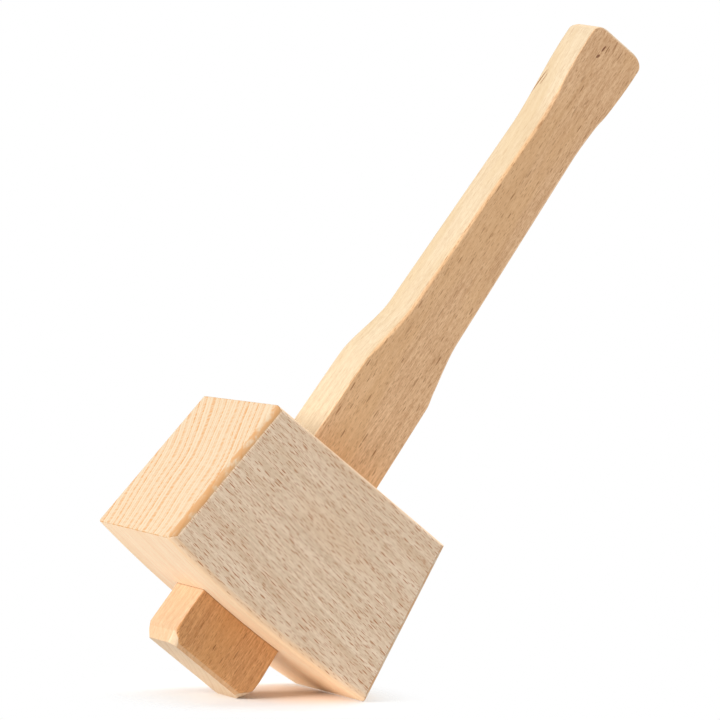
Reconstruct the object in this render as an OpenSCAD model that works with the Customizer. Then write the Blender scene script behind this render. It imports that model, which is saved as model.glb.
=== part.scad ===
// Joiner's mallet: a solid beech head on a tapered handle.
//
// Frame: millimetres, +Z up the handle from its outer end to the grip's butt,
// X across the two strike faces, Y through the head's thickness.
// The origin is the centre of the handle's outer end, which the mallet can stand on.
//
// The handle widens towards its outer end and the mortise through the head has
// the same taper, so the head comes on over the grip and jams at its seat.

/* [Head] */
// Length between the strike faces, at the outer face
head_length = 120; // [80:1:180]
// Height of each strike face, from the outer face to the grip-side face
head_height = 72; // [50:1:110]
// Thickness between the two cheeks
head_thickness = 60; // [45:1:90]
// Lean of each strike face, so that it lands square on a blow
strike_angle = 7; // [0:0.5:10]
// Rise of the crowned outer face at the middle of its length
outer_crown = 3.2; // [1:0.2:8]
// Radius on the cheeks' long edges, beside the outer face
outer_edge_radius = 6; // [1:0.5:9]
// Radius on the cheeks' long edges, beside the grip-side face
grip_side_edge_radius = 3.6; // [1:0.2:8]
// Radius on the upright edges beside the strike faces
upright_edge_radius = 5.5; // [1:0.5:8]

/* [Handle] */
// Length of the handle from its outer end to the butt
handle_length = 318; // [230:1:450]
// Thickness of the handle, the same all the way up
handle_thickness = 22; // [16:0.5:32]
// Width of the handle at its outer end
outer_end_width = 47.6; // [38:0.2:64]
// Taper of each narrow side where it passes through the head
taper_angle = 2.5; // [1:0.1:4]
// How far the outer end stands out of the crowned face
stand_out = 25; // [8:1:50]
// Straight neck between the head and the shoulder curve
neck_length = 41; // [15:1:80]
// How much narrower each side is at the top of the neck than in the head
neck_relief = 0.8; // [0.4:0.1:3]
// Length of the shoulder curve from the neck down to the grip
shoulder_length = 34; // [20:1:60]
// Width of the grip just above the shoulder
grip_low_width = 28.4; // [22:0.2:34]
// Width of the grip at its slimmest, just below the butt
grip_high_width = 24.2; // [18:0.2:30]
// Width of the butt
butt_width = 29; // [22:0.2:34]
// Length of the curve where the grip flares into the butt
flare_length = 43; // [20:1:60]
// Straight length of the butt above the flare
butt_length = 9; // [6:1:30]

/* [Edges] */
// Radius worked on the grip's two front edges
grip_front_radius = 1.8; // [1:0.2:6]
// Radius worked on the grip's two back edges
grip_back_radius = 4.4; // [1:0.2:6]
// Length over which the front edges' rounding runs out
edge_run_out = 7; // [3:1:15]
// Radius left on the edges that stay square
eased_radius = 0.6; // [0.3:0.1:1.5]
// Radius on the outer end's two front corners
outer_front_corner = 3.2; // [0.6:0.2:5]
// Radius on the outer end's two back corners
outer_back_corner = 1; // [0.6:0.2:5]
// Height of the outer end's chamfers on the narrow sides
side_chamfer_height = 6; // [5.5:0.5:12]
// Depth of the outer end's chamfers on the narrow sides
side_chamfer_depth = 3.2; // [1:0.2:6]
// Height of the outer end's chamfers on the front and back
face_chamfer_height = 3; // [1:0.5:5]
// Depth of the outer end's chamfers on the front and back
face_chamfer_depth = 1.5; // [0.5:0.1:4]
// Height of the rounding round the butt's end
butt_round_height = 5; // [2:0.5:8]
// How far the butt's rounding reaches in from each narrow side
butt_side_reach = 7; // [2:0.5:9]
// How far the butt's rounding reaches in from the front
butt_front_reach = 1.8; // [0.5:0.1:4]
// How far the butt's rounding reaches in from the back
butt_back_reach = 5; // [0.5:0.5:7]

/* [Fits] */
// Clearance on each side between the handle and the mortise
fit_gap = 0.1; // [0.05:0.01:0.3]

/* [Hidden] */

// Heights along the handle
crown_z = stand_out;
corner_z = crown_z + outer_crown;
head_top_z = corner_z + head_height;
shoulder_z = head_top_z + neck_length;
grip_low_z = shoulder_z + shoulder_length;
flare_top_z = handle_length - butt_length;
flare_z = flare_top_z - flare_length;

// Head
strike_set_back = head_height * tan(strike_angle);
crown_radius = (pow(head_length / 2, 2) + pow(outer_crown, 2)) / (2 * outer_crown);
crown_centre_z = crown_z + crown_radius;

// Where the outer end's worn corners run out
worn_z = 2 * side_chamfer_height;
// Where the grip's round edges start and stop
round_start_z = shoulder_z + 3;
round_stop_z = flare_z + 0.55 * flare_length;

// How far a cutting shape runs past the face that it cuts
over = 10;
// Overlap that keeps a cutter clear of the face it starts on
skin = 1;
// Points on each corner of the handle's section
corner_steps = 4;
// Rings over the two curves and the butt's end
curve_rings = 12;
butt_rings = 5;

// Soft step from 0 to 1 as z goes from low to high
function ease(low, high, z) =
    let (t = min(1, max(0, (z - low) / (high - low))))
    t * t * (3 - 2 * t);

// Straight line from a to b as z goes from low to high
function slope(a, b, low, high, z) = a + (b - a) * (z - low) / (high - low);

// Half width of the tapered stretch that the mortise fits
function taper_half(z) = outer_end_width / 2 - z * tan(taper_angle);

// Half width of the handle's outline at any height
shoulder_half = taper_half(head_top_z) - neck_relief;
function outline_half(z) =
    z <= head_top_z ? taper_half(z)
    : z <= shoulder_z ? slope(taper_half(head_top_z), shoulder_half, head_top_z, shoulder_z, z)
    : z <= grip_low_z
        ? shoulder_half + (grip_low_width / 2 - shoulder_half) * ease(shoulder_z, grip_low_z, z)
    : z <= flare_z ? slope(grip_low_width / 2, grip_high_width / 2, grip_low_z, flare_z, z)
    : (grip_high_width + (butt_width - grip_high_width) * ease(flare_z, flare_top_z, z)) / 2;

// What the two ends take off the width and off the thickness
function side_cut(z) = side_chamfer_depth * max(0, 1 - z / side_chamfer_height);
function face_cut(z) = face_chamfer_depth * max(0, 1 - z / face_chamfer_height);
function butt_rise(z) = max(0, z - (handle_length - butt_round_height)) / butt_round_height;
function butt_cut(z) = 1 - sqrt(max(0, 1 - pow(butt_rise(z), 2)));

function half_width(z) = outline_half(z) - side_cut(z) - butt_side_reach * butt_cut(z);
function half_thickness(reach, z) = handle_thickness / 2 - face_cut(z) - reach * butt_cut(z);

// Radius left on an edge that stays square, starting from its corner at the outer end
function square_radius(outer_corner, z) =
    outer_corner + (eased_radius - outer_corner) * ease(0, worn_z, z);
function front_radius(z) =
    square_radius(outer_front_corner, z) + (grip_front_radius - eased_radius)
    * ease(round_start_z, round_start_z + edge_run_out, z)
    * (1 - ease(round_stop_z - edge_run_out, round_stop_z, z));
function back_radius(z) =
    square_radius(outer_back_corner, z)
    + (grip_back_radius - eased_radius) * ease(round_start_z, grip_low_z, z);

// One section of the handle: a rectangle with round corners
function section(z) =
    let (w = half_width(z))
    [for (corner = [0:3], step = [0:corner_steps])
        let (a = 90 * (corner + step / corner_steps),
             side_x = (corner == 0 || corner == 3) ? 1 : -1,
             side_y = corner < 2 ? 1 : -1,
             h = half_thickness(side_y > 0 ? butt_back_reach : butt_front_reach, z),
             r = side_y > 0 ? back_radius(z) : front_radius(z))
        [side_x * (w - r) + r * cos(a), side_y * (h - r) + r * sin(a), z]];

// Heights of the sections, close together only where the shape turns
function steps_between(low, high, count) = [for (i = [0:count - 1]) low + (high - low) * i / count];
handle_heights = concat(
    [0, face_chamfer_height, side_chamfer_height, worn_z, head_top_z],
    steps_between(shoulder_z, grip_low_z, curve_rings),
    [grip_low_z, (grip_low_z + flare_z) / 2],
    steps_between(flare_z, flare_top_z, curve_rings),
    [flare_top_z],
    [for (i = [0:butt_rings])
        handle_length - butt_round_height * (1 - sin(90 * i / butt_rings))]
);

// Trapezoid with the crowned outer face, drawn in X and Z
module head_outline() {
    half_outer = head_length / 2;
    half_grip = half_outer - strike_set_back;
    polygon([[-half_outer, corner_z], [half_outer, corner_z],
             [half_grip, head_top_z], [-half_grip, head_top_z]]);
    intersection() {
        translate([0, crown_centre_z])
            circle(r = crown_radius, $fn = 720);
        translate([-half_outer, crown_z - over])
            square([head_length, outer_crown + over]);
    }
}

// What rounding an edge along Z takes away; the solid fills the +X, +Y quarter
module edge_waste(radius) {
    difference() {
        translate([-skin, -skin])
            square(radius + skin);
        translate([radius, radius])
            circle(r = radius, $fn = 64);
    }
}

// Long straight edges between the cheeks and the grip-side face
module top_edge_waste() {
    for (side = [-1, 1])
        scale([1, side, 1])
            translate([0, head_thickness / 2, head_top_z])
                rotate([0, 90, 0])
                    rotate([0, 0, -90])
                        linear_extrude(height = head_length, center = true)
                            edge_waste(grip_side_edge_radius);
}

// Long curved edges between the cheeks and the crowned outer face
module crown_edge_waste() {
    for (side = [0, 1])
        mirror([0, side, 0])
            translate([0, 0, crown_centre_z])
                rotate([90, 0, 0])
                    rotate_extrude($fn = 720)
                        translate([crown_radius, -head_thickness / 2])
                            mirror([1, 0])
                                edge_waste(outer_edge_radius);
}

// Upright edges between the cheeks and the leaning strike faces
module upright_edge_waste() {
    for (end = [0, 1], side = [0, 1])
        mirror([end, 0, 0])
            mirror([0, side, 0])
                translate([-head_length / 2, -head_thickness / 2, corner_z])
                    rotate([0, strike_angle, 0])
                        translate([0, 0, -over])
                            linear_extrude(height = head_height + 2 * over)
                                edge_waste(upright_edge_radius);
}

// Tapered slot that the handle passes through
module mortise() {
    low_z = crown_z - over;
    high_z = head_top_z + over;
    low_half = taper_half(low_z) + fit_gap;
    high_half = taper_half(high_z) + fit_gap;
    rotate([90, 0, 0])
        linear_extrude(height = handle_thickness + 2 * fit_gap, center = true)
            polygon([[-low_half, low_z], [low_half, low_z],
                     [high_half, high_z], [-high_half, high_z]]);
}

// Solid block of beech, with its grain along X
module head() {
    color("wheat")
    difference() {
        rotate([90, 0, 0])
            linear_extrude(height = head_thickness, center = true)
                head_outline();
        top_edge_waste();
        crown_edge_waste();
        upright_edge_waste();
        mortise();
    }
}

// One straight piece of beech, with its grain along Z
module handle() {
    color("burlywood")
    polyhedron(
        points = [for (z = handle_heights) each section(z)],
        faces = let (n = 4 * (corner_steps + 1), rings = len(handle_heights)) concat(
            [[for (i = [0:n - 1]) i]],
            [for (ring = [0:rings - 2], i = [0:n - 1])
                let (j = (i + 1) % n, base = ring * n)
                [base + i, base + n + i, base + n + j, base + j]],
            [[for (i = [n - 1:-1:0]) (rings - 1) * n + i]]
        )
    );
}

head();
handle();
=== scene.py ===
import math

import bmesh
import bpy
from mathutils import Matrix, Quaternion, Vector


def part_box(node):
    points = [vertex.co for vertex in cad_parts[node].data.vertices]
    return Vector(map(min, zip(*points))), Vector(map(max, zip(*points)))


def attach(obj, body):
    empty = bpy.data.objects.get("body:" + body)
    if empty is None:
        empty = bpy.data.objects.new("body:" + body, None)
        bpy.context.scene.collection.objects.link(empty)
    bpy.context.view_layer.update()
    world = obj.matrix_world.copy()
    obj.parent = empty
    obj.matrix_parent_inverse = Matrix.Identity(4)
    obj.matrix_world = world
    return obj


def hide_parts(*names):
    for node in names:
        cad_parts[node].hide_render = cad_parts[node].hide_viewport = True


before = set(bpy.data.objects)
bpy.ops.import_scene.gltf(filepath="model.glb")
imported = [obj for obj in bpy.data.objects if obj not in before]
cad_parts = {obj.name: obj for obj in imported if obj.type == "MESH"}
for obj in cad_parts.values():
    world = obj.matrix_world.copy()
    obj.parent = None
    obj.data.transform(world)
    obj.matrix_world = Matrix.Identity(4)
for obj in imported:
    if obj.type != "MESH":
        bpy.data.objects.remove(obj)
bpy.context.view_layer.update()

# ---------------------------------------------------------------------------
# Handle
# One straight piece of beech, sawn to its outline from a board of one
# thickness and planed. It widens towards its outer end, so the head jams on
# it. The grip's edges are rounded over, more at the back than at the front.
# ---------------------------------------------------------------------------
mm = 0.001
handle_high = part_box("handle")[1]
head_low, head_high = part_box("head")

handle_length = handle_high.z
handle_half_thickness = handle_high.y
outer_end_half = 23.8 * mm
taper_angle = math.radians(2.5)
neck_relief = 0.8 * mm
neck_length = 41 * mm
shoulder_length = 34 * mm
flare_length = 43 * mm
butt_length = 9 * mm
shoulder_z = head_high.z + neck_length
grip_low_z = shoulder_z + shoulder_length
flare_top_z = handle_length - butt_length
flare_z = flare_top_z - flare_length
grip_low_half = 14.2 * mm
grip_high_half = 12.1 * mm
butt_half = 14.5 * mm
side_chamfer_height = 6 * mm
side_chamfer_depth = 3.2 * mm
face_chamfer_height = 3 * mm
face_chamfer_depth = 1.5 * mm
outer_front_corner = 3.2 * mm
outer_back_corner = 1.0 * mm
butt_round_height = 5 * mm
butt_side_reach = 7 * mm
butt_front_reach = 1.8 * mm
butt_back_reach = 5 * mm
grip_front_radius = 1.8 * mm
grip_back_radius = 4.4 * mm
eased_radius = 0.6 * mm
run_out = 7 * mm
round_start_z = shoulder_z + 3 * mm
round_stop_z = flare_z + 0.55 * flare_length


def ease(low, high, value):
    t = min(1.0, max(0.0, (value - low) / (high - low)))
    return t * t * (3 - 2 * t)


def between(a, b, low, high, value):
    return a + (b - a) * (value - low) / (high - low)


def outline_half(z):
    tapered = outer_end_half - z * math.tan(taper_angle)
    if z <= head_high.z:
        return tapered
    seat_half = outer_end_half - head_high.z * math.tan(taper_angle)
    shoulder_half = seat_half - neck_relief
    if z <= shoulder_z:
        return between(seat_half, shoulder_half, head_high.z, shoulder_z, z)
    if z <= grip_low_z:
        return shoulder_half + (grip_low_half - shoulder_half) * ease(shoulder_z, grip_low_z, z)
    if z <= flare_z:
        return between(grip_low_half, grip_high_half, grip_low_z, flare_z, z)
    return grip_high_half + (butt_half - grip_high_half) * ease(flare_z, flare_top_z, z)


def handle_section(z):
    side_cut = side_chamfer_depth * max(0.0, 1 - z / side_chamfer_height)
    face_cut = face_chamfer_depth * max(0.0, 1 - z / face_chamfer_height)
    rise = max(0.0, z - (handle_length - butt_round_height)) / butt_round_height
    butt_cut = 1 - math.sqrt(max(0.0, 1 - rise**2))
    width = outline_half(z) - side_cut - butt_side_reach * butt_cut
    front = handle_half_thickness - face_cut - butt_front_reach * butt_cut
    back = handle_half_thickness - face_cut - butt_back_reach * butt_cut
    front_rounding = ease(round_start_z, round_start_z + run_out, z)
    front_rounding *= 1 - ease(round_stop_z - run_out, round_stop_z, z)
    back_rounding = ease(round_start_z, grip_low_z, z)
    worn = 1 - ease(0, 2 * side_chamfer_height, z)
    front_radius = eased_radius + (outer_front_corner - eased_radius) * worn
    front_radius += (grip_front_radius - eased_radius) * front_rounding
    back_radius = eased_radius + (outer_back_corner - eased_radius) * worn
    back_radius += (grip_back_radius - eased_radius) * back_rounding
    return width, (front, front_radius), (back, back_radius)


def steps(low, high, count):
    return [low + (high - low) * i / count for i in range(count)]


handle_heights = (
    steps(0, 2 * side_chamfer_height, 8) + steps(2 * side_chamfer_height, head_low.z, 2)
    + steps(head_low.z, head_high.z, 6) + steps(head_high.z, shoulder_z, 4)
    + steps(shoulder_z, grip_low_z, 20) + steps(grip_low_z, flare_z, 12)
    + steps(flare_z, flare_top_z, 24) + steps(flare_top_z, handle_length - butt_round_height, 2)
    + [handle_length - butt_round_height * (1 - math.sin(math.radians(9 * i))) for i in range(11)]
)

bpy.ops.object.select_all(action="DESELECT")
bpy.ops.mesh.primitive_plane_add(size=2)
handle = bpy.context.object
handle.name = "tapered_handle"
handle.scale = (outer_end_half, handle_half_thickness, 1)
bpy.ops.object.transform_apply(location=True, rotation=True, scale=True)
bpy.ops.object.mode_set(mode="EDIT")
bpy.ops.mesh.select_all(action="SELECT")
bpy.ops.mesh.bevel(offset=eased_radius, segments=6, profile=0.42, affect="VERTICES")
bpy.ops.mesh.select_all(action="SELECT")
last_z = 0
square_edge = (handle_half_thickness, eased_radius)
last_section = (outer_end_half, square_edge, square_edge)
for z in handle_heights:
    if z > 0:
        bpy.ops.mesh.extrude_region_move(TRANSFORM_OT_translate={"value": (0, 0, z - last_z)})
    old_width, old_front, old_back = last_section
    width, front, back = handle_section(z)
    for vertex in bmesh.from_edit_mesh(handle.data).verts:
        if not vertex.select:
            continue
        old_thickness, old_radius = old_back if vertex.co.y > 0 else old_front
        thickness, radius = back if vertex.co.y > 0 else front
        turn_x = (abs(vertex.co.x) - old_width + old_radius) / old_radius
        turn_y = (abs(vertex.co.y) - old_thickness + old_radius) / old_radius
        vertex.co.x = math.copysign(width - radius + radius * turn_x, vertex.co.x)
        vertex.co.y = math.copysign(thickness - radius + radius * turn_y, vertex.co.y)
    bmesh.update_edit_mesh(handle.data)
    last_z, last_section = z, (width, front, back)
bpy.ops.mesh.select_all(action="SELECT")
bpy.ops.mesh.normals_make_consistent(inside=False)
bpy.ops.object.mode_set(mode="OBJECT")


def finish_shading(piece, degrees):
    bpy.context.view_layer.objects.active = piece
    piece.select_set(True)
    bpy.ops.object.shade_smooth_by_angle(angle=math.radians(degrees))
    weighted = piece.modifiers.new("weighted", "WEIGHTED_NORMAL")
    weighted.keep_sharp = True
    bpy.ops.object.modifier_apply(modifier=weighted.name)
    piece.select_set(False)


finish_shading(handle, 28)


def new_group(name, inputs, outputs):
    group = bpy.data.node_groups.new(name, "ShaderNodeTree")
    for label, kind, value in inputs:
        socket = group.interface.new_socket(label, in_out="INPUT", socket_type="NodeSocket" + kind)
        socket.default_value = value
    for label, kind in outputs:
        group.interface.new_socket(label, in_out="OUTPUT", socket_type="NodeSocket" + kind)
    return group, group.nodes.new("NodeGroupInput").outputs, group.nodes.new("NodeGroupOutput").inputs


def put(tree, value, socket):
    if isinstance(value, bpy.types.NodeSocket):
        tree.links.new(value, socket)
    else:
        socket.default_value = value


def math_node(tree, operation, *values, clamp=False):
    node = tree.nodes.new("ShaderNodeMath")
    node.operation = operation
    node.use_clamp = clamp
    for value, socket in zip(values, node.inputs):
        put(tree, value, socket)
    return node.outputs[0]


def vector_node(tree, operation, *values):
    node = tree.nodes.new("ShaderNodeVectorMath")
    node.operation = operation
    for value, socket in zip(values, node.inputs):
        put(tree, value, socket)
    return node.outputs["Value" if operation == "LENGTH" else "Vector"]


def remap(tree, value, low, high, to_low=0.0, to_high=1.0, smooth=True):
    node = tree.nodes.new("ShaderNodeMapRange")
    node.interpolation_type = "SMOOTHSTEP" if smooth else "LINEAR"
    for item, socket in zip((value, low, high, to_low, to_high), node.inputs):
        put(tree, item, socket)
    return node.outputs["Result"]


def noise_node(tree, vector, scale, detail=2.0, rough=0.5):
    node = tree.nodes.new("ShaderNodeTexNoise")
    put(tree, vector, node.inputs["Vector"])
    node.inputs["Scale"].default_value = scale
    node.inputs["Detail"].default_value = detail
    node.inputs["Roughness"].default_value = rough
    return node.outputs["Fac"]


def mix_colour(tree, factor, a, b, blend="MIX"):
    node = tree.nodes.new("ShaderNodeMix")
    node.data_type = "RGBA"
    node.blend_type = blend
    put(tree, factor, node.inputs["Factor"])
    put(tree, a, node.inputs["A"])
    put(tree, b, node.inputs["B"])
    return node.outputs["Result"]


def place_group(tree, group, **values):
    node = tree.nodes.new("ShaderNodeGroup")
    node.node_tree = group
    for label, value in values.items():
        put(tree, value, node.inputs[label.replace("_", " ")])
    return node.outputs


# Growth rings round the tree's pith. Point has the grain along X.
growth_rings, given, out = new_group(
    "growth_rings",
    [("Point", "Vector", (0, 0, 0)), ("Pith", "Vector", (0, 0.2, 0)), ("Spacing", "Float", 0.004)],
    [("Late Wood", "Float"), ("Patch", "Float")],
)
t = growth_rings
slow = vector_node(t, "MULTIPLY", given["Point"], (0.2, 1, 1))
wander = math_node(t, "SUBTRACT", noise_node(t, slow, 22, 1), 0.5)
fine_wander = math_node(t, "SUBTRACT", noise_node(t, slow, 260, 2), 0.5)
from_pith = vector_node(t, "SUBTRACT", given["Point"], given["Pith"])
across = vector_node(t, "MULTIPLY", from_pith, (0, 1, 1))
radius_out = vector_node(t, "LENGTH", across)
radius_out = math_node(t, "MULTIPLY_ADD", wander, 0.010, radius_out)
radius_out = math_node(t, "MULTIPLY_ADD", fine_wander, 0.0007, radius_out)
good_years = t.nodes.new("ShaderNodeTexNoise")
good_years.noise_dimensions = "1D"
good_years.inputs["Scale"].default_value = 75
good_years.inputs["Detail"].default_value = 1
put(t, radius_out, good_years.inputs["W"])
radius_out = math_node(t, "MULTIPLY_ADD", good_years.outputs["Fac"], 0.005, radius_out)
turns = math_node(t, "DIVIDE", radius_out, given["Spacing"])
phase = math_node(t, "FRACT", turns)
ring_line = math_node(t, "MULTIPLY", remap(t, phase, 0.45, 0.92), remap(t, phase, 1.0, 0.94))
fine_phase = math_node(t, "FRACT", math_node(t, "MULTIPLY", turns, 2.7))
fine_line = math_node(t, "MULTIPLY", remap(t, fine_phase, 0.3, 0.8), remap(t, fine_phase, 1.0, 0.8))
each_ring = t.nodes.new("ShaderNodeTexWhiteNoise")
each_ring.noise_dimensions = "1D"
put(t, math_node(t, "FLOOR", turns), each_ring.inputs["W"])
strength = remap(t, each_ring.outputs["Value"], 0, 1, 0.4, 1.0, smooth=False)
line = math_node(t, "MULTIPLY_ADD", fine_line, 0.45, math_node(t, "MULTIPLY", ring_line, strength))
parts = t.nodes.new("ShaderNodeSeparateXYZ")
put(t, across, parts.inputs[0])
around = math_node(t, "MULTIPLY", math_node(t, "ARCTAN2", parts.outputs["Z"], parts.outputs["Y"]), 0.14)
crossing = t.nodes.new("ShaderNodeCombineXYZ")
put(t, around, crossing.inputs["X"])
put(t, math_node(t, "MULTIPLY", radius_out, 0.25), crossing.inputs["Y"])
rays_across = remap(t, noise_node(t, crossing.outputs[0], 900, 1), 0.35, 0.65)
line = math_node(t, "MULTIPLY", line, remap(t, rays_across, 0, 1, 0.45, 1.0, smooth=False), clamp=True)
put(t, line, out["Late Wood"])
put(t, noise_node(t, slow, 60, 3), out["Patch"])

# Rays, which show as short dark flecks where they end on a face. Point has the grain along X and
# the face's other direction along Z.
ray_flecks, given, out = new_group(
    "ray_flecks",
    [("Point", "Vector", (0, 0, 0)), ("Length", "Float", 0.0045), ("Width", "Float", 0.0006),
     ("Along", "Float", 0.009), ("Apart", "Float", 0.0022), ("Share", "Float", 0.7)],
    [("Fleck", "Float")],
)
t = ray_flecks
cell = t.nodes.new("ShaderNodeCombineXYZ")
put(t, math_node(t, "DIVIDE", 1.0, given["Along"]), cell.inputs["X"])
cell.inputs["Y"].default_value = 25
put(t, math_node(t, "DIVIDE", 1.0, given["Apart"]), cell.inputs["Z"])
cells = vector_node(t, "MULTIPLY", given["Point"], cell.outputs[0])
rays = t.nodes.new("ShaderNodeTexVoronoi")
rays.inputs["Scale"].default_value = 1
put(t, cells, rays.inputs["Vector"])
offset = vector_node(t, "SUBTRACT", cells, rays.outputs["Position"])
reach = t.nodes.new("ShaderNodeCombineXYZ")
twice_along = math_node(t, "MULTIPLY", given["Along"], 2.0)
twice_apart = math_node(t, "MULTIPLY", given["Apart"], 2.0)
put(t, math_node(t, "DIVIDE", twice_along, given["Length"]), reach.inputs["X"])
put(t, math_node(t, "DIVIDE", twice_apart, given["Width"]), reach.inputs["Z"])
far = vector_node(t, "LENGTH", vector_node(t, "MULTIPLY", offset, reach.outputs[0]))
chance = t.nodes.new("ShaderNodeSeparateColor")
put(t, rays.outputs["Color"], chance.inputs[0])
size = remap(t, chance.outputs[0], 0, 1, 0.45, 1.15, smooth=False)
shape = remap(t, math_node(t, "DIVIDE", far, size), 1.0, 0.6)
kept = math_node(t, "LESS_THAN", chance.outputs[1], given["Share"])
depth = remap(t, chance.outputs[2], 0, 1, 0.35, 1.0, smooth=False)
put(t, math_node(t, "MULTIPLY", math_node(t, "MULTIPLY", shape, kept), depth), out["Fleck"])

# Fibres and fine pores, long along the grain. Point has the grain along X.
fibres, given, out = new_group(
    "fibres",
    [("Point", "Vector", (0, 0, 0)), ("Broad", "Float", 0.5)],
    [("Streak", "Float"), ("Pores", "Float")],
)
t = fibres
drawn = vector_node(t, "MULTIPLY", given["Point"], (1, 18, 18))
broad_streak = remap(t, noise_node(t, drawn, 40, 3, 0.75), 0.34, 0.66)
speck = vector_node(t, "MULTIPLY", given["Point"], (1, 5, 5))
specks = remap(t, noise_node(t, speck, 400, 2, 0.75), 0.34, 0.66)
unlike = math_node(t, "SUBTRACT", broad_streak, specks)
put(t, math_node(t, "MULTIPLY_ADD", unlike, given["Broad"], specks), out["Streak"])
short = vector_node(t, "MULTIPLY", given["Point"], (1, 3, 3))
put(t, remap(t, noise_node(t, short, 600, 2, 0.7), 0.4, 0.65), out["Pores"])


def beech(name, grain_turn, pith, spacing, broad, fleck, small_fleck, tones):
    material = bpy.data.materials.new(name)
    material.use_nodes = True
    t = material.node_tree
    place = t.nodes.new("ShaderNodeTexCoord")
    turn = t.nodes.new("ShaderNodeMapping")
    turn.inputs["Rotation"].default_value = grain_turn
    put(t, place.outputs["Object"], turn.inputs["Vector"])
    point = turn.outputs["Vector"]
    facing = t.nodes.new("ShaderNodeMapping")
    facing.vector_type = "NORMAL"
    facing.inputs["Rotation"].default_value = grain_turn
    put(t, place.outputs["Normal"], facing.inputs["Vector"])
    faces = t.nodes.new("ShaderNodeSeparateXYZ")
    put(t, vector_node(t, "ABSOLUTE", facing.outputs["Vector"]), faces.inputs[0])
    end_face = remap(t, faces.outputs["X"], tones["end_from"], tones["end_from"] + 0.07)
    flat_face = math_node(t, "GREATER_THAN", faces.outputs["Y"], 0.7)
    outward = t.nodes.new("ShaderNodeSeparateXYZ")
    put(t, place.outputs["Normal"], outward.inputs[0])
    squarest = math_node(t, "MAXIMUM", faces.outputs["Y"], faces.outputs["Z"])
    squarest = math_node(t, "MAXIMUM", faces.outputs["X"], squarest)
    worked_edge = remap(t, squarest, 0.985, 0.88)

    # On the faces square to the flat ones, the flecks lie across Y
    spot = t.nodes.new("ShaderNodeSeparateXYZ")
    put(t, point, spot.inputs[0])
    swapped = t.nodes.new("ShaderNodeCombineXYZ")
    put(t, spot.outputs["X"], swapped.inputs["X"])
    put(t, spot.outputs["Z"], swapped.inputs["Y"])
    put(t, spot.outputs["Y"], swapped.inputs["Z"])
    choose = t.nodes.new("ShaderNodeMix")
    choose.data_type = "VECTOR"
    put(t, flat_face, choose.inputs["Factor"])
    put(t, swapped.outputs[0], choose.inputs[4])
    put(t, point, choose.inputs[5])
    on_face = choose.outputs[1]

    rings = place_group(t, growth_rings, Point=point, Pith=pith, Spacing=spacing)
    marks = place_group(t, ray_flecks, Point=on_face, **fleck)
    elsewhere = vector_node(t, "ADD", on_face, (0.31, 0.17, 0.23))
    small_marks = place_group(t, ray_flecks, Point=elsewhere, **small_fleck)
    threads = place_group(t, fibres, Point=point, Broad=broad)
    threads_shown = math_node(t, "MULTIPLY", threads["Streak"],
                              remap(t, flat_face, 0, 1, tones["radial_streak"], 1.0, smooth=False))
    side = mix_colour(t, threads_shown, tones["side_light"], tones["side_dark"])
    patch = remap(t, rings["Patch"], 0.45, 0.65, 0, tones["patch_strength"])
    side = mix_colour(t, patch, side, tones["patch"])
    side = mix_colour(t, math_node(t, "MULTIPLY", rings["Late Wood"], 0.16), side, tones["ring"])
    # Rounded edges that face down get an orange tint, partly grain where the rounding cuts the rings and
    # partly painted warm bounce light
    lower = remap(t, outward.outputs["Z"], 0.0, -0.3)
    edge_grain_and_bounce = math_node(t, "MULTIPLY_ADD", threads["Streak"], 0.6, 0.4)
    edge_grain_and_bounce = math_node(t, "MULTIPLY", math_node(t, "MULTIPLY", worked_edge, lower), edge_grain_and_bounce)
    side = mix_colour(t, math_node(t, "MULTIPLY", edge_grain_and_bounce, tones["edge_strength"]), side, tones["edge"])
    # Faces square to the flat ones get painted light: lighter on the head's outer face and grip side, darker
    # and less red on the handle's narrow sides
    side = mix_colour(t, remap(t, faces.outputs["Y"], 0.9, 0.4), side, tones["painted_face_light"], "MULTIPLY")
    shown = remap(t, flat_face, 0, 1, tones["radial_share"], 1.0, smooth=False)
    fleck_shown = math_node(t, "MULTIPLY", marks["Fleck"], shown)
    small_shown = math_node(t, "MULTIPLY", small_marks["Fleck"], shown)
    small_mix = math_node(t, "MULTIPLY", small_shown, tones["small_strength"])
    fleck_mix = math_node(t, "MULTIPLY", fleck_shown, tones["fleck_strength"])
    side = mix_colour(t, small_mix, side, tones["fleck"])
    side = mix_colour(t, fleck_mix, side, tones["fleck"])
    end = mix_colour(t, math_node(t, "MULTIPLY", threads["Pores"], 0.35), tones["end"], tones["pore"])
    end = mix_colour(t, math_node(t, "MULTIPLY", rings["Late Wood"], tones["end_rings"]), end, tones["ring"])
    flames = noise_node(t, vector_node(t, "MULTIPLY", point, (1, 2, 1)), 100, 3, 0.6)
    flame = math_node(t, "MULTIPLY", worked_edge, remap(t, flames, 0.42, 0.56, 0.15, 1.0))
    end = mix_colour(t, math_node(t, "MULTIPLY", flame, tones["end_edge_strength"]), end, tones["end_edge"])
    height = math_node(t, "MULTIPLY_ADD", threads_shown, 0.5, math_node(t, "MULTIPLY", fleck_shown, -0.6))
    height = math_node(t, "MULTIPLY_ADD", math_node(t, "MULTIPLY", rings["Late Wood"], end_face), 0.5, height)
    rough = remap(t, threads["Streak"], 0.2, 0.8, 0.52, 0.66)
    return {"material": material, "place": place, "flat_face": flat_face, "end_face": end_face,
            "side": side, "end": end, "height": height, "rough": rough}


def finish_beech(wood):
    t = wood["material"].node_tree
    surface = t.nodes["Principled BSDF"]
    put(t, mix_colour(t, wood["end_face"], wood["side"], wood["end"]), surface.inputs["Base Color"])
    put(t, wood["rough"], surface.inputs["Roughness"])
    bump = t.nodes.new("ShaderNodeBump")
    bump.inputs["Strength"].default_value = 0.4
    bump.inputs["Distance"].default_value = 0.00012
    put(t, wood["height"], bump.inputs["Height"])
    put(t, bump.outputs[0], surface.inputs["Normal"])
    surface.inputs["Specular IOR Level"].default_value = 0.35
    return wood["material"]


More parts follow.
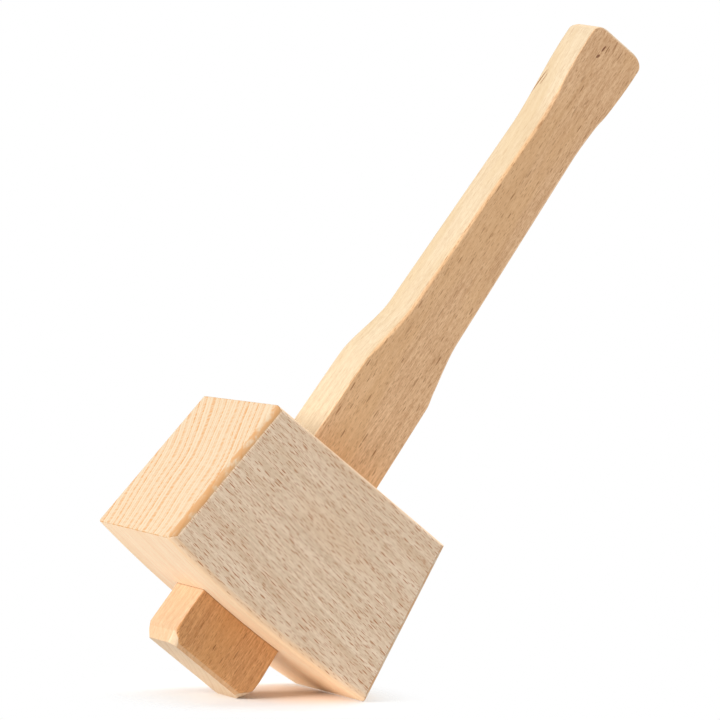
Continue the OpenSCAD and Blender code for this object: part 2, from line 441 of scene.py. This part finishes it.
handle_wood = beech(
    "handle_beech",
    (0, math.radians(90), 0),
    (0, 0.12, 0.10),
    0.0034,
    0.5,
    {"Length": 0.0055, "Width": 0.0008, "Along": 0.0150, "Apart": 0.0044, "Share": 0.7},
    {"Length": 0.0026, "Width": 0.00042, "Along": 0.0036, "Apart": 0.0011, "Share": 0.75},
    {"side_light": (0.97, 0.64, 0.37, 1), "side_dark": (0.62, 0.345, 0.17, 1), "patch": (0.80, 0.48, 0.23, 1),
     "patch_strength": 0.5, "painted_face_light": (0.72, 0.89, 1.06, 1), "radial_streak": 0.6,
     "ring": (0.56, 0.32, 0.14, 1),
     "fleck": (0.33, 0.14, 0.045, 1), "fleck_strength": 0.85, "small_strength": 0.55, "radial_share": 0.45,
     "end": (0.79, 0.60, 0.41, 1), "pore": (0.66, 0.46, 0.28, 1), "end_rings": 0.45, "end_from": 0.42,
     "edge": (0.84, 0.52, 0.25, 1), "edge_strength": 0.3,
     "end_edge": (0.72, 0.50, 0.30, 1), "end_edge_strength": 0.3},
)
t = handle_wood["material"].node_tree
spot = t.nodes.new("ShaderNodeSeparateXYZ")
put(t, handle_wood["place"].outputs["Object"], spot.inputs[0])
x, y, z = spot.outputs

# The end that stands out below the head gets painted shade with warm bounce light, most of all on its front
# and back
painted_shade_tint = mix_colour(t, handle_wood["flat_face"], (0.95, 0.78, 0.68, 1), (0.80, 0.64, 0.46, 1))
shade_starts, shade_full = 46 * mm, 26 * mm
painted_shade_below_head = remap(t, z, shade_starts, shade_full)
side = mix_colour(t, painted_shade_below_head, handle_wood["side"], painted_shade_tint, "MULTIPLY")

# A thin dark line of painted shade where the handle enters the head's crowned face
crown = 3.2 * mm
from_middle = math_node(t, "POWER", math_node(t, "DIVIDE", x, head_high.x), 2.0)
crown_here = math_node(t, "MULTIPLY_ADD", from_middle, crown, head_low.z)
below = math_node(t, "SUBTRACT", crown_here, z)
painted_joint_shade = math_node(t, "MULTIPLY", remap(t, below, 0.5 * mm, 0.1 * mm), remap(t, below, -0.5 * mm, 0))
side = mix_colour(t, math_node(t, "MULTIPLY", painted_joint_shade, 0.6), side, (0.30, 0.12, 0.04, 1))


# Marks that only this handle has: two pin knots on the butt's front, and a drying crack beside them
def mark(centre, half_size, slope, face):
    across, along, facing = (x, z, y) if face == "front" else (y, z, x)
    off = math_node(t, "SUBTRACT", across, centre[0])
    rise = math_node(t, "SUBTRACT", along, centre[1])
    off = math_node(t, "MULTIPLY_ADD", rise, -slope, off)
    off = math_node(t, "POWER", math_node(t, "DIVIDE", off, half_size[0]), 2.0)
    rise = math_node(t, "POWER", math_node(t, "DIVIDE", rise, half_size[1]), 2.0)
    reached = remap(t, math_node(t, "ADD", off, rise), 1.0, 0.45)
    return math_node(t, "MULTIPLY", reached, math_node(t, "LESS_THAN", facing, -8 * mm))


dark_brown = (0.22, 0.07, 0.022, 1)
for centre, half_size, slope, face in (
    ((-5.5 * mm, 310.4 * mm), (0.5 * mm, 1.8 * mm), 0.12, "front"),
    ((-5.9 * mm, 306.4 * mm), (0.7 * mm, 1.2 * mm), 0.3, "front"),
    ((6.0 * mm, 286.5 * mm), (0.45 * mm, 7.0 * mm), -0.22, "narrow"),
    ((3.6 * mm, 288.0 * mm), (0.3 * mm, 3.4 * mm), -0.22, "narrow"),
):
    there = mark(centre, half_size, slope, face)
    side = mix_colour(t, math_node(t, "MULTIPLY", there, 0.85), side, dark_brown)
    handle_wood["height"] = math_node(t, "MULTIPLY_ADD", there, -1.5, handle_wood["height"])
handle_wood["side"] = side
handle_beech = finish_beech(handle_wood)
handle.data.materials.append(handle_beech)
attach(handle, "handle")
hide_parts("handle")

# ---------------------------------------------------------------------------
# Head
# A solid block of beech with the grain running from strike face to strike
# face. Both strike faces lean, the outer face is crowned, the cheeks' edges
# are rounded over, and a tapered mortise for the handle goes right through.
# ---------------------------------------------------------------------------
head_half_length = head_high.x
head_half_thickness = head_high.y
corner_z = head_low.z + crown
strike_angle = math.radians(7)
grip_side_half = head_half_length - (head_high.z - corner_z) * math.tan(strike_angle)
upright_radius = 5.5 * mm
outer_edge_radius = 6 * mm
grip_edge_radius = 3.6 * mm
strike_ease = 0.8 * mm
worn_drop = 3.3 * mm

bpy.ops.mesh.primitive_cube_add(size=2, location=(0, 0, (corner_z + head_high.z) / 2))
head = bpy.context.object
head.name = "mallet_head"
head.scale = (head_half_length, head_half_thickness, (head_high.z - corner_z) / 2)
bpy.ops.object.transform_apply(location=True, rotation=True, scale=True)
bpy.ops.object.mode_set(mode="EDIT")
bpy.ops.mesh.select_all(action="DESELECT")
bpy.ops.mesh.select_mode(type="FACE")
shape = bmesh.from_edit_mesh(head.data)
for face in shape.faces:
    face.select_set(face.normal.z > 0.9)
bpy.ops.transform.resize(value=(grip_side_half / head_half_length, 1, 1))
bpy.ops.mesh.select_mode(type="EDGE")
bpy.ops.mesh.select_all(action="DESELECT")
shape = bmesh.from_edit_mesh(head.data)
for edge in shape.edges:
    edge.select_set(abs(edge.verts[0].co.y - edge.verts[1].co.y) < 1e-6
                    and abs(edge.verts[0].co.z - edge.verts[1].co.z) < 1e-6)
bpy.ops.mesh.subdivide(number_cuts=31)
shape = bmesh.from_edit_mesh(head.data)
weight = shape.edges.layers.float.new("bevel_weight_edge")

# The outer face gets its crown, and one top corner of the left strike face is worn lower
for vertex in shape.verts:
    if vertex.co.z < corner_z + 1e-6:
        vertex.co.z = corner_z - crown * (1 - (vertex.co.x / head_half_length) ** 2)
    elif vertex.co.y > 0:
        vertex.co.z -= worn_drop * ease(outer_end_half, grip_side_half, -vertex.co.x)
for edge in shape.edges:
    a, b = edge.verts[0].co, edge.verts[1].co
    on_cheek_edge = abs(a.y) > head_half_thickness - 1e-6 and abs(b.y - a.y) < 1e-6
    if len({face.normal.to_tuple(0) for face in edge.link_faces}) < 2:
        continue
    if on_cheek_edge and abs(a.z - b.z) > 0.03:
        edge[weight] = upright_radius / outer_edge_radius
    elif on_cheek_edge and max(a.z, b.z) < corner_z + 1e-6:
        edge[weight] = 1.0
    elif on_cheek_edge:
        edge[weight] = grip_edge_radius / outer_edge_radius
    else:
        edge[weight] = strike_ease / outer_edge_radius
bmesh.update_edit_mesh(head.data)
bpy.ops.object.mode_set(mode="OBJECT")
rounding = head.modifiers.new("rounding", "BEVEL")
rounding.limit_method = "WEIGHT"
rounding.width = outer_edge_radius
rounding.segments = 8
rounding.profile = 0.42
rounding.harden_normals = True
bpy.ops.object.modifier_apply(modifier=rounding.name)

# The mortise, cut with a wedge that has the handle's taper and a little air
fit_gap = 0.1 * mm
past = 10 * mm
bpy.ops.mesh.primitive_cube_add(size=2)
wedge = bpy.context.object
low_z, high_z = head_low.z - past, head_high.z + past
for vertex in wedge.data.vertices:
    z = high_z if vertex.co.z > 0 else low_z
    half = outer_end_half - z * math.tan(taper_angle) + fit_gap
    vertex.co = (vertex.co.x * half, vertex.co.y * (handle_half_thickness + fit_gap), z)
bpy.context.view_layer.objects.active = head
mortise = head.modifiers.new("mortise", "BOOLEAN")
mortise.operation = "DIFFERENCE"
mortise.object = wedge
mortise.solver = "EXACT"
bpy.ops.object.modifier_apply(modifier=mortise.name)
bpy.data.objects.remove(wedge)
finish_shading(head, 28)

head_wood = beech(
    "head_beech",
    (0, math.radians(-5), 0),
    (0, 0.14, 0.005),
    0.0040,
    0.6,
    {"Length": 0.0046, "Width": 0.00042, "Along": 0.0054, "Apart": 0.0014, "Share": 0.85},
    {"Length": 0.0030, "Width": 0.00032, "Along": 0.0040, "Apart": 0.0009, "Share": 0.7},
    {"side_light": (1.0, 0.80, 0.60, 1), "side_dark": (0.74, 0.545, 0.365, 1), "patch": (0.84, 0.60, 0.39, 1),
     "patch_strength": 0.45, "painted_face_light": (1.13, 1.09, 1.01, 1), "radial_streak": 0.5,
     "ring": (0.54, 0.25, 0.08, 1),
     "fleck": (0.44, 0.13, 0.02, 1), "fleck_strength": 1.0, "small_strength": 0.75, "radial_share": 0.1,
     "end": (0.60, 0.49, 0.345, 1), "pore": (0.52, 0.39, 0.24, 1), "end_rings": 0.95, "end_from": 0.30,
     "edge": (0.92, 0.58, 0.31, 1), "edge_strength": 0.45,
     "end_edge": (0.54, 0.28, 0.11, 1), "end_edge_strength": 0.9},
)
head_beech = finish_beech(head_wood)
head.data.materials.append(head_beech)
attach(head, "head")
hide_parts("head")

# ---------------------------------------------------------------------------
# Floor
# The mallet leans on one corner of its outer end and one edge of its head, so
# the pale floor passes through both and is tilted in the mallet's own frame.
# Seen from below it is clear, so it never hides the mallet.
# ---------------------------------------------------------------------------
outer_corner = Vector((outer_end_half - side_chamfer_depth, 0, 0))
head_corner = Vector((head_half_length, 0, corner_z))
lean = math.atan2(head_corner.z - outer_corner.z, head_corner.x - outer_corner.x)
floor_size = 0.4
bpy.ops.mesh.primitive_plane_add(size=floor_size, rotation=(0, -lean, 0), location=head_corner)
floor = bpy.context.object
floor.name = "floor"
floor_paper = bpy.data.materials.new("floor_paper")
floor_paper.use_nodes = True
t = floor_paper.node_tree
paper = t.nodes["Principled BSDF"]
paper.inputs["Roughness"].default_value = 0.9
paper.inputs["Specular IOR Level"].default_value = 0.1
place = t.nodes.new("ShaderNodeTexCoord")
contact_middle = (head_corner - outer_corner).length * 0.75
from_contact = vector_node(t, "ADD", place.outputs["Object"], (contact_middle, 0, 0))
whole_to, gone_from = 30 * mm, 75 * mm
faded = remap(t, vector_node(t, "LENGTH", from_contact), whole_to, gone_from)

# Between the two contacts the paper is warmer, from light that comes off the wood
beside_head = vector_node(t, "ADD", place.outputs["Object"], (contact_middle * 0.45, 0, 0))
warm_from, warmest_to = 40 * mm, 12 * mm
warmed = remap(t, vector_node(t, "LENGTH", beside_head), warm_from, warmest_to)
paper_colour = mix_colour(t, warmed, (0.84, 0.86, 0.88, 1), (0.97, 0.83, 0.73, 1))
put(t, paper_colour, paper.inputs["Base Color"])
seen_from = t.nodes.new("ShaderNodeNewGeometry")
clear = t.nodes.new("ShaderNodeBsdfTransparent")
choose = t.nodes.new("ShaderNodeMixShader")
put(t, math_node(t, "MAXIMUM", seen_from.outputs["Backfacing"], faded), choose.inputs["Fac"])
t.links.new(paper.outputs[0], choose.inputs[1])
t.links.new(clear.outputs[0], choose.inputs[2])
t.links.new(choose.outputs[0], t.nodes["Material Output"].inputs["Surface"])
floor.data.materials.append(floor_paper)

# ---------------------------------------------------------------------------
# Camera and light
# A long lens looks a little up at the mallet's own frame. A large soft light
# stands to the left of the camera, and the white room fills the shadows.
# ---------------------------------------------------------------------------
look = Vector((0.4786, 0.8492, 0.2232)).normalized()
target = Vector((-0.0160, -0.0024, 0.1436))
distance = 3.866
roll = math.radians(33.4)
bpy.ops.object.camera_add()
camera = bpy.context.object
turn = look.to_track_quat("-Z", "Y")
camera.rotation_mode = "QUATERNION"
camera.rotation_quaternion = Quaternion(look, -roll) @ turn
camera.location = target - look * distance
camera.data.lens = 471
camera.data.sensor_width = 36
camera.data.clip_end = 50
bpy.context.scene.camera = camera


def add_area_light(name, toward, away, size, energy, colour):
    toward = Vector(toward).normalized()
    bpy.ops.object.light_add(type="AREA", location=target + toward * away)
    light = bpy.context.object
    light.name = name
    light.rotation_mode = "QUATERNION"
    light.rotation_quaternion = (-toward).to_track_quat("-Z", "Y")
    light.data.size = size
    light.data.energy = energy
    light.data.color = colour


add_area_light("key", (-0.95, -0.06, -0.24), 1.6, 0.9, 30, (1.0, 0.98, 0.96))
add_area_light("top", (0.1, 0.15, 1.0), 1.6, 0.9, 14, (1.0, 0.99, 0.97))
add_area_light("rim", (0.95, -0.10, 0.2), 1.6, 0.9, 9, (1.0, 0.99, 0.98))

world = bpy.data.worlds.new("white_room")
bpy.context.scene.world = world
world.use_nodes = True
t = world.node_tree
room = t.nodes["Background"]
room.inputs["Color"].default_value = (1, 1, 1, 1)
room.inputs["Strength"].default_value = 0.62
backdrop = t.nodes.new("ShaderNodeBackground")
backdrop.inputs["Color"].default_value = (1, 1, 1, 1)
backdrop.inputs["Strength"].default_value = 1.0
path = t.nodes.new("ShaderNodeLightPath")
choose = t.nodes.new("ShaderNodeMixShader")
t.links.new(path.outputs["Is Camera Ray"], choose.inputs["Fac"])
t.links.new(room.outputs[0], choose.inputs[1])
t.links.new(backdrop.outputs[0], choose.inputs[2])
t.links.new(choose.outputs[0], t.nodes["World Output"].inputs["Surface"])
bpy.context.scene.view_settings.view_transform = "Standard"
